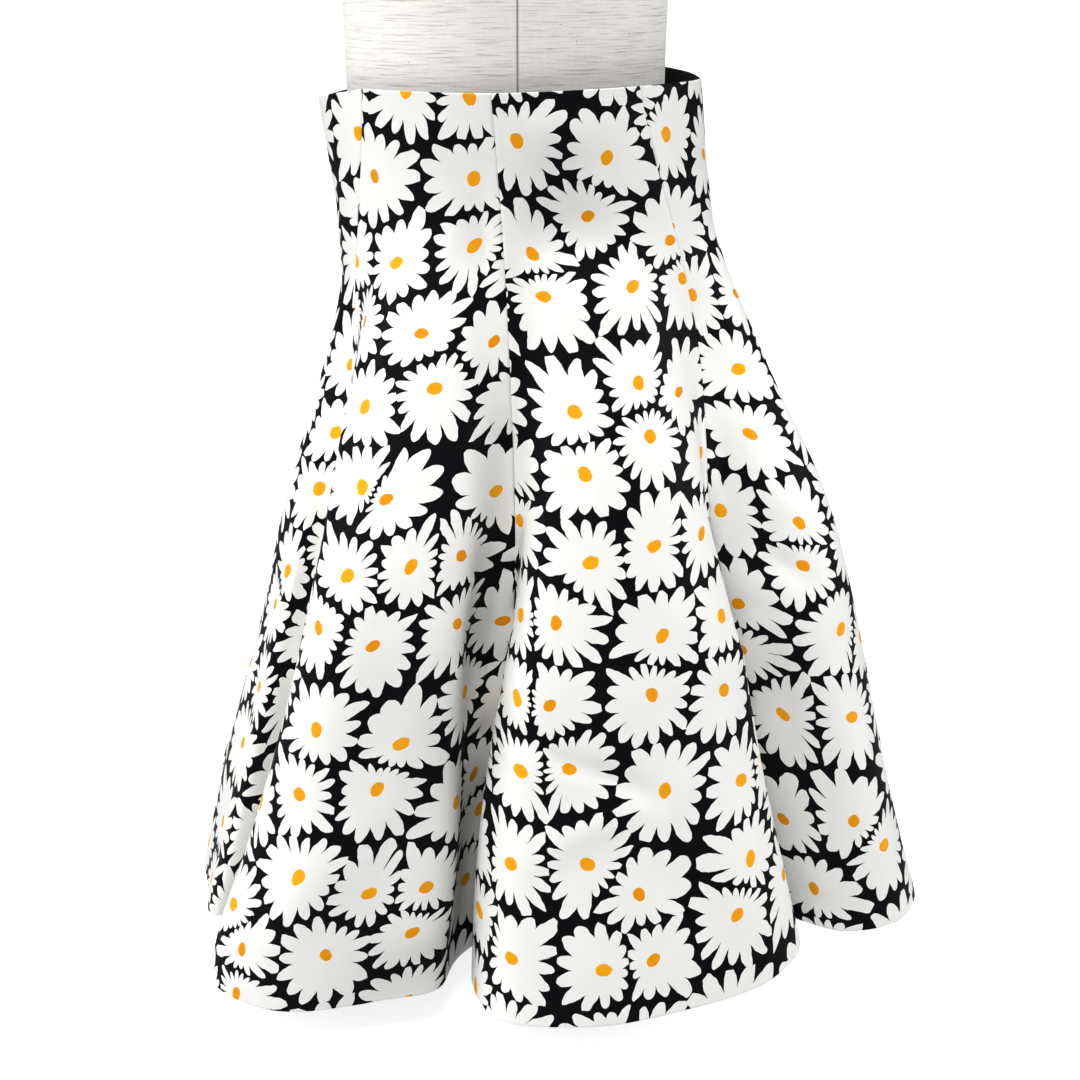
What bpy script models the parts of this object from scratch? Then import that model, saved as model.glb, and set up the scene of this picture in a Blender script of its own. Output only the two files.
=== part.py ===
"""A high waisted skirt of eight flared gores, on the limbless dress form that it rests on.

The skirt is modelled about its own axis, which leans a little on the form: its origin is the
centre of the top edge, +X the wearer's left, -Y the front and +Z up. Its tables are in
millimetres and degrees. Angles are measured from the front towards +X. Model units are metres.
"""

import math

import bmesh
import bpy
import numpy as np
from mathutils import Vector

MM = 0.001
AXIS_NAME = "skirt_axis"

# ---------------------------------------------------------------- driving sizes
SKIRT_LENGTH = 560.0  # down the skirt's axis, from the top edge to the hem
SKIRT_LEAN = 3.0  # degrees that the skirt sits askew on the form
SKIRT_TOP = (2.0, 0.0, 600.0)  # centre of the top edge, over the floor
CLOTH = 1.6  # thickness of the heavy satin
SEAM_GAP = 0.3  # clear space between sewn pieces
TOP_BAND = 90.0  # height over which the rise of the top edge dies out
FOLD_SOFTNESS = 1.4  # how softly a fold swells near its seams where it starts
MITRE_LIMIT = 2.6  # longest inner corner at a seam, in cloth thicknesses

# The ring on which the seams lie: distance down, then its reach to each side.
RING_COLUMNS = ("down", "left", "right", "front", "back")
RING = (
    (0, 130, 130, 98, 100),
    (60, 126, 134, 97, 98),
    (120, 126, 140, 103, 104),
    (200, 134, 154, 122, 126),
    (280, 150, 178, 140, 144),
    (360, 163, 186, 158, 160),
    (460, 188, 190, 178, 180),
    (560, 208, 198, 198, 198),
)

# The eight seams: their angle at five heights, how far they stand out from the ring at the
# lower three, and the rise of the top edge.
SEAM_HEIGHTS = (0.0, 140.0, 280.0, 420.0, 560.0)
SEAM_COLUMNS = (
    "name", "at_top", "at_waist", "at_hip", "at_thigh", "at_hem",
    "hip_out", "thigh_out", "hem_out", "rise",
)  # fmt: skip
SEAMS = (
    ("front", -5.5, -4, -4.5, -9, -13, -6, -18, -26, 4),
    ("front_right", 48.5, 61.5, 48, 44, 42.5, 6, 2, 6, 2),
    ("right", 92, 98, 93, 90, 86, -2, -4, -6, 0),
    ("back_right", 134, 137, 134, 133, 132, 0, 0, 0, 9),
    ("back", 177, 177, 177, 177.5, 178, 1, 3, 4, 7),
    ("back_left", 222, 219, 221, 222.5, 223, -1, -3, -4, 6),
    ("left", 265, 256, 262, 266, 268, 0, 0, 0, 0),
    ("front_left", 307, 292, 304, 304, 301, 8, 10, 17, 9),
)

# The gores, each between a seam and the next: where its fold starts, the share of the hem's
# fold that it has at the hip and at the thigh, and the height where it is as sharp as there.
GORE_COLUMNS = ("name", "start", "at_hip", "at_thigh", "sharp_at")
GORES = (
    ("gore_front_right", 95, 0.44, 0.73, 360),
    ("gore_side_front_right", 95, 0.49, 0.76, 345),
    ("gore_side_back_right", 90, 0.37, 0.68, 340),
    ("gore_back_right", 100, 0.32, 0.65, 350),
    ("gore_back_left", 105, 0.33, 0.66, 355),
    ("gore_side_back_left", 78, 0.38, 0.69, 330),
    ("gore_side_front_left", 120, 0.50, 0.77, 370),
    ("gore_front_left", 75, 0.58, 0.80, 520),
)

# Each gore's fold at the hem, from its first seam to the next: where its side, corner and crest
# stand, to the right of the skirt's axis and behind it.
HEM_COLUMNS = ("first_side", "first_corner", "first_crest", "last_crest", "last_corner", "last_side")
HEM_FOLDS = (
    ((-54, -228), (-40, -263), (15, -277), (85, -265), (147, -236), (171, -200)),
    ((172, -173), (198, -188), (242, -180), (263, -145), (250, -98), (220, -52)),
    ((235, 8), (275, 40), (286, 85), (272, 125), (235, 150), (188, 148)),
    ((160, 175), (163, 212), (148, 247), (116, 267), (75, 270), (36, 250)),
    ((-28, 253), (-72, 278), (-114, 269), (-144, 241), (-153, 205), (-146, 170)),
    ((-180, 165), (-225, 169), (-266, 148), (-288, 110), (-285, 73), (-256, 36)),
    ((-246, 10), (-270, -10), (-272, -55), (-261, -98), (-247, -138), (-224, -130)),
    ((-230, -165), (-237, -205), (-190, -246), (-122, -246), (-74, -235), (-64, -212)),
)
ROWS_DOWN = (0, 45, 90, 130, 170, 210, 250, 295, 340, 390, 440, 500, 560)
STEPS_ACROSS = 18

# Facing and zip
FACING_ROWS = (1.5, 45)  # from just under the skirt's top edge down
FACING_CLOTH = 1.0
LINING_GAP = 0.45  # from the gores' inner side to what lies on it
ZIP_SEAM = 4  # the centre back seam
TAPE_ROWS = (1.5, 45, 90, 130, 170)
TAPE_STEPS = 4  # across each half
TAPE_WIDTH = 24.0
TAPE_CLOTH = 1.0
SLIDER_DOWN = 9.0  # middle of the slider, below the top edge
SLIDER_GAP = 0.45  # a flat slider on a curved back
SLIDER_SIZE = (5.0, 1.2, 10.0)  # width, thickness, height
BRIDGE_WIDTH = 1.6
BRIDGE_HEIGHT = 6.0
BRIDGE_BAR = 0.9  # thickness of the bridge's bars
BRIDGE_ROOM = 1.9  # clear space under the bridge
PULL_WIDTH = 5.6
PULL_THICK = 1.0
PULL_LENGTH = 24.0
PULL_EYE = (3.4, 4.2)  # width and height of the eye that the bridge passes through
PULL_TOP_BAR = 1.0
METAL_ROUND = 0.2

# The form: height over its waist, half width, front and back half depth.
FORM_WAIST = 630.0
FORM_TURN = 6.0  # degrees that the form is turned towards +X
FORM_COLUMNS = ("up", "half_width", "front", "back")
FORM_SECTIONS = (
    (-350, 108, 86, 92),
    (-300, 116, 92, 100),
    (-250, 120.2, 95, 103),
    (-200, 118.2, 93, 101),
    (-150, 114.2, 89, 96),
    (-90, 109, 86, 89),
    (-30, 108, 84, 85),
    (35, 108.5, 85, 84),
    (85, 113, 92, 86),
    (135, 120, 106, 90),
    (175, 127, 115, 92),
    (215, 131, 106, 94),
    (260, 137, 89, 96),
    (305, 146, 76, 92),
    (338, 144, 64, 84),
    (362, 118, 55, 72),
    (382, 84, 50, 60),
    (402, 61, 47, 51),
    (450, 52, 45, 45),
)
FORM_STEPS_ROUND = 44
FORM_ROWS = 30
CAP_PROFILE = ((0, 14), (30, 13), (42, 9), (46, 3), (45.5, 0), (0, 0))  # radius, height
POLE_RADIUS = 12.5
BASE_PROFILE = ((0, 22), (17, 22), (19, 20), (21, 10), (128, 8), (132, 5), (132, 0), (0, 0))
POLE_SEAT = 22.0  # top of the base's boss
TURNED_STEPS = 48

# Colours: base colour, roughness, metallic
SATIN = ((0.78, 0.77, 0.75), 0.42, 0.0)
FACING_BLACK = ((0.012, 0.012, 0.014), 0.55, 0.0)
TAPE_BLACK = ((0.015, 0.015, 0.017), 0.8, 0.0)
ZIP_METAL = ((0.05, 0.05, 0.055), 0.35, 0.9)
LINEN = ((0.72, 0.70, 0.67), 0.9, 0.0)
CAP_WOOD = ((0.42, 0.27, 0.15), 0.5, 0.0)
STEEL = ((0.55, 0.55, 0.56), 0.3, 1.0)
BASE_WHITE = ((0.82, 0.82, 0.80), 0.45, 0.0)


# ---------------------------------------------------------------- the skirt's surface
def column(table, columns, name):
    """One named column of a table, as floats."""
    return np.array([row[columns.index(name)] for row in table], float)


def smooth_value(at, places, values):
    """A smooth curve through a short table, read at any place."""
    at = np.asarray(at, float)
    places, values = np.asarray(places, float), np.asarray(values, float)
    slopes = np.gradient(values, places)
    i = np.clip(np.searchsorted(places, at) - 1, 0, len(places) - 2)
    step = places[i + 1] - places[i]
    t = (at - places[i]) / step
    start = (2 * t**3 - 3 * t**2 + 1) * values[i]
    start_slope = (t**3 - 2 * t**2 + t) * step * slopes[i]
    end = (3 * t**2 - 2 * t**3) * values[i + 1]
    end_slope = (t**3 - t**2) * step * slopes[i + 1]
    return start + start_slope + end + end_slope


def ring_reach(side, down):
    return smooth_value(down, column(RING, RING_COLUMNS, "down"), column(RING, RING_COLUMNS, side))


def seam_row(seam):
    """A seam's row in its table, and the full turns that its number counts past the front."""
    turns, index = divmod(seam, len(SEAMS))
    return SEAMS[index], turns


def seam_angle(seam, down):
    row, turns = seam_row(seam)
    first = SEAM_COLUMNS.index("at_top")
    angles = np.array(row[first : first + len(SEAM_HEIGHTS)], float)
    return smooth_value(down, SEAM_HEIGHTS, angles) + 360.0 * turns


def seam_value(seam, name):
    return seam_row(seam)[0][SEAM_COLUMNS.index(name)]


def seam_out(seam, down):
    """How far a seam stands out from the ring: not at all down to the waist."""
    heights = SEAM_HEIGHTS[1:]
    outs = (0.0, *(seam_value(seam, name) for name in ("hip_out", "thigh_out", "hem_out")))
    return smooth_value(np.maximum(down, heights[0]), heights, outs)


def ring_point(gore, across, down):
    """A point of the ring between a gore's seams, before its fold swells out."""
    angle = np.radians(seam_angle(gore, down) * (1 - across) + seam_angle(gore + 1, down) * across)
    side, depth = np.sin(angle), -np.cos(angle)
    wide = np.where(side > 0, ring_reach("right", down), ring_reach("left", down))
    deep = np.where(depth > 0, ring_reach("back", down), ring_reach("front", down))
    reach = 1 / np.sqrt((side / wide) ** 2 + (depth / deep) ** 2)
    reach = reach + seam_out(gore, down) * (1 - across) + seam_out(gore + 1, down) * across
    return side * reach, depth * reach


def hem_point(gore, across):
    """A point of a gore's hem: a smooth curve from its first seam round its fold to the next."""
    first, last = (ring_point(gore, np.array(end), np.array(SKIRT_LENGTH)) for end in (0.0, 1.0))
    places = np.array([first, *HEM_FOLDS[gore % len(GORES)], last], float)
    run = np.concatenate([[0], np.cumsum(np.linalg.norm(np.diff(places, axis=0), axis=1))])
    shares = run / run[-1]
    return smooth_value(across, shares, places[:, 0]), smooth_value(across, shares, places[:, 1])


def fold_growth(gore, down):
    """The share of its hem's fold that a gore has at a height."""
    _, start, at_hip, at_thigh, _ = GORES[gore % len(GORES)]
    heights = (start, SEAM_HEIGHTS[2], SEAM_HEIGHTS[3], SKIRT_LENGTH)
    return smooth_value(np.maximum(down, start), heights, (0.0, at_hip, at_thigh, 1.0))


def gore_point(gore, turn, down):
    """A point of a gore's outer face, in the skirt's millimetres.

    turn runs from 0 at its first seam to pi at the next, and is closely spaced at the seams.
    """
    _, start, _, _, sharp_at = GORES[gore % len(GORES)]
    turn, down = np.broadcast_arrays(np.asarray(turn, float), np.asarray(down, float))
    across = (1 - np.cos(turn)) / 2
    x, y = ring_point(gore, across, down)
    base_x, base_y = ring_point(gore, across, np.full_like(down, SKIRT_LENGTH))
    hem_x, hem_y = hem_point(gore, across)
    softness = FOLD_SOFTNESS * (1 - np.clip((down - start) / (sharp_at - start), 0, 1))
    swell = fold_growth(gore, down) * np.clip(np.sin(np.pi * across), 0, 1) ** softness
    rise = seam_value(gore, "rise") * (1 - across) + seam_value(gore + 1, "rise") * across
    z = -down + rise * np.clip(1 - down / TOP_BAND, 0, 1)
    return np.stack([x + (hem_x - base_x) * swell, y + (hem_y - base_y) * swell, z], axis=-1)


def unit(vectors):
    return vectors / np.linalg.norm(vectors, axis=-1, keepdims=True)


def gore_normal(gore, turn, down):
    """The outward normal of a gore's face, from small steps across and down it."""
    small_turn, small_down = 0.02, 2.0
    low, high = np.clip(turn - small_turn, 0, np.pi), np.clip(turn + small_turn, 0, np.pi)
    across = gore_point(gore, high, down) - gore_point(gore, low, down)
    above, below = np.clip(down - small_down, 0, None), np.clip(down + small_down, None, SKIRT_LENGTH)
    along = gore_point(gore, turn, below) - gore_point(gore, turn, above)
    return unit(np.cross(along, across))


def seam_frame(gore, down, at_end):
    """At a gore's seam: the mitre's direction and length per thickness, and the way off the seam."""
    turn = np.pi if at_end else 0.0
    other, other_turn = (gore + 1, 0.0) if at_end else (gore - 1, np.pi)
    own = gore_normal(gore, np.full_like(down, turn), down)
    next_one = gore_normal(other % len(GORES), np.full_like(down, other_turn), down)
    mitre = unit(own + next_one)
    stretch = 1 / np.clip((own * mitre).sum(-1, keepdims=True), 1 / MITRE_LIMIT, 1)
    seam_line = unit(np.gradient(gore_point(gore, turn, down), axis=0))
    off = unit(np.cross(seam_line, mitre))
    inside = gore_point(gore, np.full_like(down, np.pi / 2), down) - gore_point(gore, turn, down)
    off = off * np.sign((off * inside).sum(-1, keepdims=True))
    return mitre * stretch, off


def gore_layers(gore, turns, downs, depths):
    """Grids of points of a gore, one for each depth under its outer face: rows down, steps across."""
    turn, down = np.meshgrid(np.asarray(turns, float), np.asarray(downs, float))
    face = gore_point(gore, turn, down)
    inward = gore_normal(gore, turn, down)
    gap = np.zeros_like(face)
    for at_end, place in ((False, 0), (True, -1)):
        if abs(turns[place] - (np.pi if at_end else 0.0)) > 1e-9:
            continue
        mitre, off = seam_frame(gore, down[:, 0], at_end)
        inward[:, place] = mitre
        gap[:, place] = off * SEAM_GAP / 2
    return [face + gap - inward * depth for depth in depths]


# ---------------------------------------------------------------- mesh helpers
def material(name, finish):
    colour, roughness, metallic = finish
    made = bpy.data.materials.new(name)
    made.use_nodes = True
    shader = made.node_tree.nodes["Principled BSDF"]
    shader.inputs["Base Color"].default_value = (*colour, 1.0)
    shader.inputs["Roughness"].default_value = roughness
    shader.inputs["Metallic"].default_value = metallic
    made.diffuse_color = (*colour, 1.0)
    return made


def add_object(name, mesh, finish, parts, parent=None):
    """An object of its own material in the parts' collection, shaded smooth but for its edges."""
    mesh.materials.append(material(name, finish))
    mesh.shade_smooth()
    mesh.set_sharp_from_angle(angle=math.radians(35))
    made = bpy.data.objects.new(name, mesh)
    made.parent = parent
    parts.objects.link(made)
    return made


def wall_mesh(name, outer, inner):
    """A closed wall between two grids of points of the same shape."""
    rows, steps = outer.shape[:2]
    points = np.concatenate([outer.reshape(-1, 3), inner.reshape(-1, 3)]) * MM
    start = rows * steps
    faces = []
    for row in range(rows - 1):
        for step in range(steps - 1):
            a = row * steps + step
            b, c, d = a + steps, a + steps + 1, a + 1
            faces.append((a, b, c, d))
            faces.append((start + a, start + d, start + c, start + b))
    for row in range(rows - 1):  # both rims split the same way, so that neighbours stay parallel
        a, b = row * steps, (row + 1) * steps
        faces.append((a, start + a, start + b))
        faces.append((a, start + b, b))
        c, d = a + steps - 1, b + steps - 1
        faces.append((c, d, start + d))
        faces.append((c, start + d, start + c))
    last = (rows - 1) * steps
    for step in range(steps - 1):
        faces.append((step, step + 1, start + step + 1, start + step))
        a, b = last + step, last + step + 1
        faces.append((a, start + a, start + b, b))
    return closed_mesh(name, points, faces)


def closed_mesh(name, points, faces):
    mesh = bpy.data.meshes.new(name)
    mesh.from_pydata([tuple(point) for point in points], [], faces)
    work = bmesh.new()
    work.from_mesh(mesh)
    bmesh.ops.recalc_face_normals(work, faces=work.faces)
    work.to_mesh(mesh)
    work.free()
    return mesh


def turned_object(name, profile, finish, parts, height):
    """A turned piece: its outline, top to bottom, spun round by a Screw modifier."""
    mesh = bpy.data.meshes.new(name)
    points = [(radius * MM, 0.0, z * MM) for radius, z in profile]
    mesh.from_pydata(points, [(i, i + 1) for i in range(len(points) - 1)], [])
    made = add_object(name, mesh, finish, parts)
    made.location = (0.0, 0.0, height * MM)
    screw = made.modifiers.new("Spin", "SCREW")
    screw.axis = "Z"
    screw.angle = 2 * math.pi
    screw.steps = TURNED_STEPS
    screw.render_steps = TURNED_STEPS
    screw.use_merge_vertices = True
    screw.merge_threshold = 0.00001
    screw.use_smooth_shade = True
    return made


def block_mesh(name, low, high):
    """A closed box between two corners."""
    work = bmesh.new()
    made = bmesh.ops.create_cube(work, size=1.0)
    for vertex in made["verts"]:
        for axis in range(3):
            vertex.co[axis] = (low[axis] if vertex.co[axis] < 0 else high[axis]) * MM
    mesh = bpy.data.meshes.new(name)
    work.to_mesh(mesh)
    work.free()
    return mesh


def add_cutter(name, low, high, cutters, place):
    """A box that only shapes another piece."""
    made = bpy.data.objects.new(name, block_mesh(name, low, high))
    made.location = place
    made.parent = bpy.data.objects[AXIS_NAME]
    made.hide_render = True
    made.display_type = "WIRE"
    cutters.objects.link(made)
    return made


def add_boolean(piece, operation, cutter):
    made = piece.modifiers.new(operation.title(), "BOOLEAN")
    made.operation = operation
    made.solver = "EXACT"
    made.object = cutter


def soften(piece, width):
    """Small rounds on a metal piece's edges."""
    bevel = piece.modifiers.new("Rounds", "BEVEL")
    bevel.width = width * MM
    bevel.segments = 2
    bevel.limit_method = "ANGLE"


# ---------------------------------------------------------------- the skirt's pieces
def build_gores(parts, axis):
    turns = np.linspace(0, np.pi, STEPS_ACROSS + 1)
    for gore, row in enumerate(GORES):
        outer, inner = gore_layers(gore, turns, ROWS_DOWN, (0.0, CLOTH))
        add_object(row[0], wall_mesh(row[0], outer, inner), SATIN, parts, axis)


def turn_at_distance(gore, from_end, distance):
    """The turn at which a gore's top edge is a given distance from one of its seams."""
    turns = np.linspace(0, np.pi, 721)
    if from_end:
        turns = turns[::-1]
    edge = gore_point(gore, turns, 0.0)
    run = np.concatenate([[0], np.cumsum(np.linalg.norm(np.diff(edge, axis=0), axis=1))])
    return float(np.interp(distance, run, turns))


def build_facing(parts, axis):
    """One strip round the inside of the top edge, open at the zip."""
    under = CLOTH + LINING_GAP
    depths = (under, under + FACING_CLOTH)
    clear = TAPE_WIDTH / 2 + 1.0
    order = [(ZIP_SEAM + i) % len(GORES) for i in range(len(GORES))]
    layers = [[], []]
    for gore in order:
        turns = np.linspace(0, np.pi, STEPS_ACROSS + 1)
        if gore == order[0]:
            first = turn_at_distance(gore, False, clear)
            turns = np.concatenate([[first], turns[turns > first]])
        if gore == order[-1]:
            last = turn_at_distance(gore, True, clear)
            turns = np.concatenate([turns[turns < last], [last]])
        grids = gore_layers(gore, turns, FACING_ROWS, depths)
        skip = 0 if gore == order[0] else 1
        for layer, grid in zip(layers, grids):
            layer.append(grid[:, skip:])
    outer, inner = (np.concatenate(layer, axis=1) for layer in layers)
    add_object("waist_facing", wall_mesh("waist_facing", outer, inner), FACING_BLACK, parts, axis)


def build_zip_tape(parts, axis):
    """The zip's tape, on the inside of the two back gores, each side of their seam."""
    under = CLOTH + LINING_GAP
    depths = (under, under + TAPE_CLOTH)
    half = TAPE_WIDTH / 2
    right_gore, left_gore = ZIP_SEAM - 1, ZIP_SEAM
    near = np.linspace(turn_at_distance(right_gore, True, half), np.pi, TAPE_STEPS + 1)
    far = np.linspace(0.0, turn_at_distance(left_gore, False, half), TAPE_STEPS + 1)
    right_grids = gore_layers(right_gore, near, TAPE_ROWS, depths)
    left_grids = gore_layers(left_gore, far, TAPE_ROWS, depths)
    outer, inner = (
        np.concatenate([right, left[:, 1:]], axis=1) for right, left in zip(right_grids, left_grids)
    )
    add_object("zip_tape", wall_mesh("zip_tape", outer, inner), TAPE_BLACK, parts, axis)


def build_zip_hardware(parts, cutters, axis):
    """The slider with its bridge, and the pull that hangs from the bridge."""
    seat = gore_point(ZIP_SEAM, 0.0, SLIDER_DOWN)
    place = Vector((seat[0], seat[1] + SLIDER_GAP, seat[2])) * MM
    width, thick, height = SLIDER_SIZE
    bridge_side, bridge_end = BRIDGE_WIDTH / 2, BRIDGE_HEIGHT / 2
    room_top = thick + BRIDGE_ROOM
    bite = 0.2  # the bridge's feet are let this far into the slider

    slider_mesh = block_mesh("zip_slider", (-width / 2, 0, -height / 2), (width / 2, thick, height / 2))
    slider = add_object("zip_slider", slider_mesh, ZIP_METAL, parts, axis)
    slider.location = place
    soften(slider, METAL_ROUND)
    bridge_low = (-bridge_side, thick - bite, -bridge_end)
    bridge_high = (bridge_side, room_top + BRIDGE_BAR, bridge_end)
    bridge = add_cutter("slider_bridge", bridge_low, bridge_high, cutters, place)
    room_low = (-bridge_side - 1, thick - 2 * bite, -bridge_end + BRIDGE_BAR)
    room_high = (bridge_side + 1, room_top, bridge_end - BRIDGE_BAR)
    room = add_cutter("bridge_room", room_low, room_high, cutters, place)
    add_boolean(bridge, "DIFFERENCE", room)
    add_boolean(slider, "UNION", bridge)

    side, bar = PULL_WIDTH / 2, PULL_THICK / 2
    pull_low = (-side, -bar, PULL_TOP_BAR / 2 - PULL_LENGTH)
    pull_mesh = block_mesh("zip_pull", pull_low, (side, bar, PULL_TOP_BAR / 2))
    pull = add_object("zip_pull", pull_mesh, ZIP_METAL, parts, axis)
    pull.location = place + Vector((0, thick + BRIDGE_ROOM / 2, 0)) * MM
    soften(pull, METAL_ROUND)
    eye_side = PULL_EYE[0] / 2
    eye_low = (-eye_side, -bar - 1, -PULL_TOP_BAR / 2 - PULL_EYE[1])
    eye = add_cutter("pull_eye", eye_low, (eye_side, bar + 1, -PULL_TOP_BAR / 2), cutters, pull.location)
    add_boolean(pull, "DIFFERENCE", eye)


# ---------------------------------------------------------------- the form's pieces
def form_ring(up):
    """The form's outline at a height over its waist."""
    heights = column(FORM_SECTIONS, FORM_COLUMNS, "up")
    wide, front, back = (
        float(smooth_value(up, heights, column(FORM_SECTIONS, FORM_COLUMNS, name)))
        for name in FORM_COLUMNS[1:]
    )
    angles = np.linspace(0, 2 * math.pi, FORM_STEPS_ROUND, endpoint=False)
    side, depth = np.sin(angles), -np.cos(angles)
    deep = np.where(depth > 0, back, front)
    turn = math.radians(FORM_TURN)
    x, y = side * wide, depth * deep
    return np.stack(
        [
            x * math.cos(turn) - y * math.sin(turn),
            x * math.sin(turn) + y * math.cos(turn),
            np.full_like(x, FORM_WAIST + up),
        ],
        axis=-1,
    )


def build_torso(parts):
    heights = column(FORM_SECTIONS, FORM_COLUMNS, "up")
    rows = np.linspace(heights[0], heights[-1], FORM_ROWS)
    points = np.concatenate([form_ring(up) for up in rows]) * MM
    steps = FORM_STEPS_ROUND
    faces = [tuple(range(steps))]
    for row in range(FORM_ROWS - 1):
        for step in range(steps):
            a, b = row * steps + step, row * steps + (step + 1) % steps
            faces.append((a, b, b + steps, a + steps))
    faces.append(tuple(range((FORM_ROWS - 1) * steps, FORM_ROWS * steps)))
    add_object("form_torso", closed_mesh("form_torso", points, faces), LINEN, parts)
    return heights[0], heights[-1]


def build_stand(parts, torso_bottom):
    turned_object("form_base", BASE_PROFILE, BASE_WHITE, parts, 0.0)
    length = torso_bottom - POLE_SEAT - 2 * SEAM_GAP
    profile = ((0, length), (POLE_RADIUS, length), (POLE_RADIUS, 0), (0, 0))
    turned_object("form_pole", profile, STEEL, parts, POLE_SEAT + SEAM_GAP)


def build():
    for old in list(bpy.data.objects):
        bpy.data.objects.remove(old)
    parts = bpy.data.collections.new("pleated_skirt_on_form")
    bpy.context.scene.collection.children.link(parts)
    cutters = bpy.data.collections.new("cutters")
    bpy.context.scene.collection.children.link(cutters)
    axis = bpy.data.objects.new(AXIS_NAME, None)
    axis.location = Vector(SKIRT_TOP) * MM
    axis.rotation_euler = (0.0, -math.radians(SKIRT_LEAN), 0.0)
    parts.objects.link(axis)
    build_gores(parts, axis)
    build_facing(parts, axis)
    build_zip_tape(parts, axis)
    build_zip_hardware(parts, cutters, axis)
    bottom, top = build_torso(parts)
    turned_object("form_neck_cap", CAP_PROFILE, CAP_WOOD, parts, FORM_WAIST + top + SEAM_GAP)
    build_stand(parts, FORM_WAIST + bottom)
    bpy.context.view_layer.update()


build()
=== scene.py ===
"""A flared daisy print skirt of eight satin gores on a linen dress form, dressed for its picture."""

import math

import bmesh
import bpy
import numpy as np
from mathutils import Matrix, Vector


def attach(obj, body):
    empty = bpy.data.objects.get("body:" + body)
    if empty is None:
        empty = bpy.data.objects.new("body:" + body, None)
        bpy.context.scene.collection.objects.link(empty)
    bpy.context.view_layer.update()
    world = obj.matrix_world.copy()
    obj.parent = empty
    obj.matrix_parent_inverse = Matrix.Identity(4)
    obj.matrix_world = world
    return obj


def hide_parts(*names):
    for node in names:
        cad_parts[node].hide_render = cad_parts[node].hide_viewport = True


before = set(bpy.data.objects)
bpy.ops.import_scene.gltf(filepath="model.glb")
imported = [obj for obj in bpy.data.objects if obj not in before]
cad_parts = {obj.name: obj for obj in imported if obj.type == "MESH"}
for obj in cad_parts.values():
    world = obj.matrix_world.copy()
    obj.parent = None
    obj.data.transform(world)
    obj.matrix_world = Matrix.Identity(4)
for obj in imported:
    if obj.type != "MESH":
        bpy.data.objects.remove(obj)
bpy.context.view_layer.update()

MM = 0.001
SKIRT_BODY = "skirt_on_form"

# ------------------------------------------------------------------ modelling
def start_piece(name):
    """The primitive just added is named and opened for editing."""
    piece = bpy.context.object
    piece.name = name
    piece.data.name = name
    bpy.ops.object.mode_set(mode="EDIT")
    return piece


def pick(piece, wanted, kind="verts"):
    """In edit mode, selects the points, edges or faces that a test wants."""
    mode = {"verts": "VERT", "edges": "EDGE", "faces": "FACE"}[kind]
    bpy.ops.mesh.select_mode(type=mode)
    bpy.ops.mesh.select_all(action="DESELECT")
    work = bmesh.from_edit_mesh(piece.data)
    for part in getattr(work, kind):
        if wanted(part):
            part.select_set(True)
    work.select_flush_mode()
    bmesh.update_edit_mesh(piece.data)


def close_piece(piece, smooth_angle=40):
    """Leaves edit mode and puts the piece's place into its mesh."""
    bpy.ops.object.mode_set(mode="OBJECT")
    bpy.ops.object.select_all(action="DESELECT")
    piece.select_set(True)
    bpy.context.view_layer.objects.active = piece
    bpy.ops.object.transform_apply(location=True, rotation=True, scale=True)
    bpy.ops.object.shade_smooth_by_angle(angle=math.radians(smooth_angle))


def subdivide_piece(piece, levels):
    smooth = piece.modifiers.new("smooth", "SUBSURF")
    smooth.levels = levels
    smooth.render_levels = levels
    bpy.ops.object.modifier_apply(modifier="smooth")


# ------------------------------------------------------------------ camera and light
CAMERA_PLACE = (0.02277, -1.045, 0.67307)
CAMERA_PITCH = 21.085  # degrees down from level
CAMERA_LENS = 49.02  # millimetres, on a 36 mm sensor
LIT_POINT = (0.0, 0.0, 0.4)  # every softbox faces it
SOFTBOXES = (  # name, place, side and power in watts
    ("softbox_over", (0.0, 0.0, 2.6), 1.6, 15),
    ("softbox_top_front", (-0.2, -1.2, 2.8), 1.2, 39),
    ("softbox_top_left", (-1.4, -1.2, 2.6), 1.2, 28),
    ("softbox_left", (-2.4, -0.3, 1.3), 1.4, 30),
    ("softbox_right", (2.4, -0.3, 1.3), 1.4, 37),
    ("softbox_front", (-0.3, -2.6, 1.8), 1.4, 9),
)
SURROUND_LIGHT = 0.02  # what the white surround gives the cloth
FLOOR_LIGHT = 0.05  # what the floor's glow gives the cloth
FLOOR_GLOW = 0.88  # how brightly the floor glows to the eye
PICTURE_GAMMA = 0.72  # under 1 for deep blacks and clear folds


def add_camera():
    lens = bpy.data.cameras.new("camera")
    lens.sensor_width = 36.0
    lens.lens = CAMERA_LENS
    lens.clip_start = 0.05
    lens.clip_end = 60.0
    camera = bpy.data.objects.new("camera", lens)
    camera.location = CAMERA_PLACE
    camera.rotation_euler = (math.radians(90 - CAMERA_PITCH), 0.0, 0.0)
    bpy.context.scene.collection.objects.link(camera)
    bpy.context.scene.camera = camera


def add_softbox(name, place, side, power):
    light = bpy.data.lights.new(name, "AREA")
    light.shape = "RECTANGLE"
    light.size, light.size_y = side, side
    light.energy = power
    box = bpy.data.objects.new(name, light)
    box.location = place
    aim = Vector(LIT_POINT) - Vector(place)
    box.rotation_euler = aim.to_track_quat("-Z", "Y").to_euler()
    bpy.context.scene.collection.objects.link(box)


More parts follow.
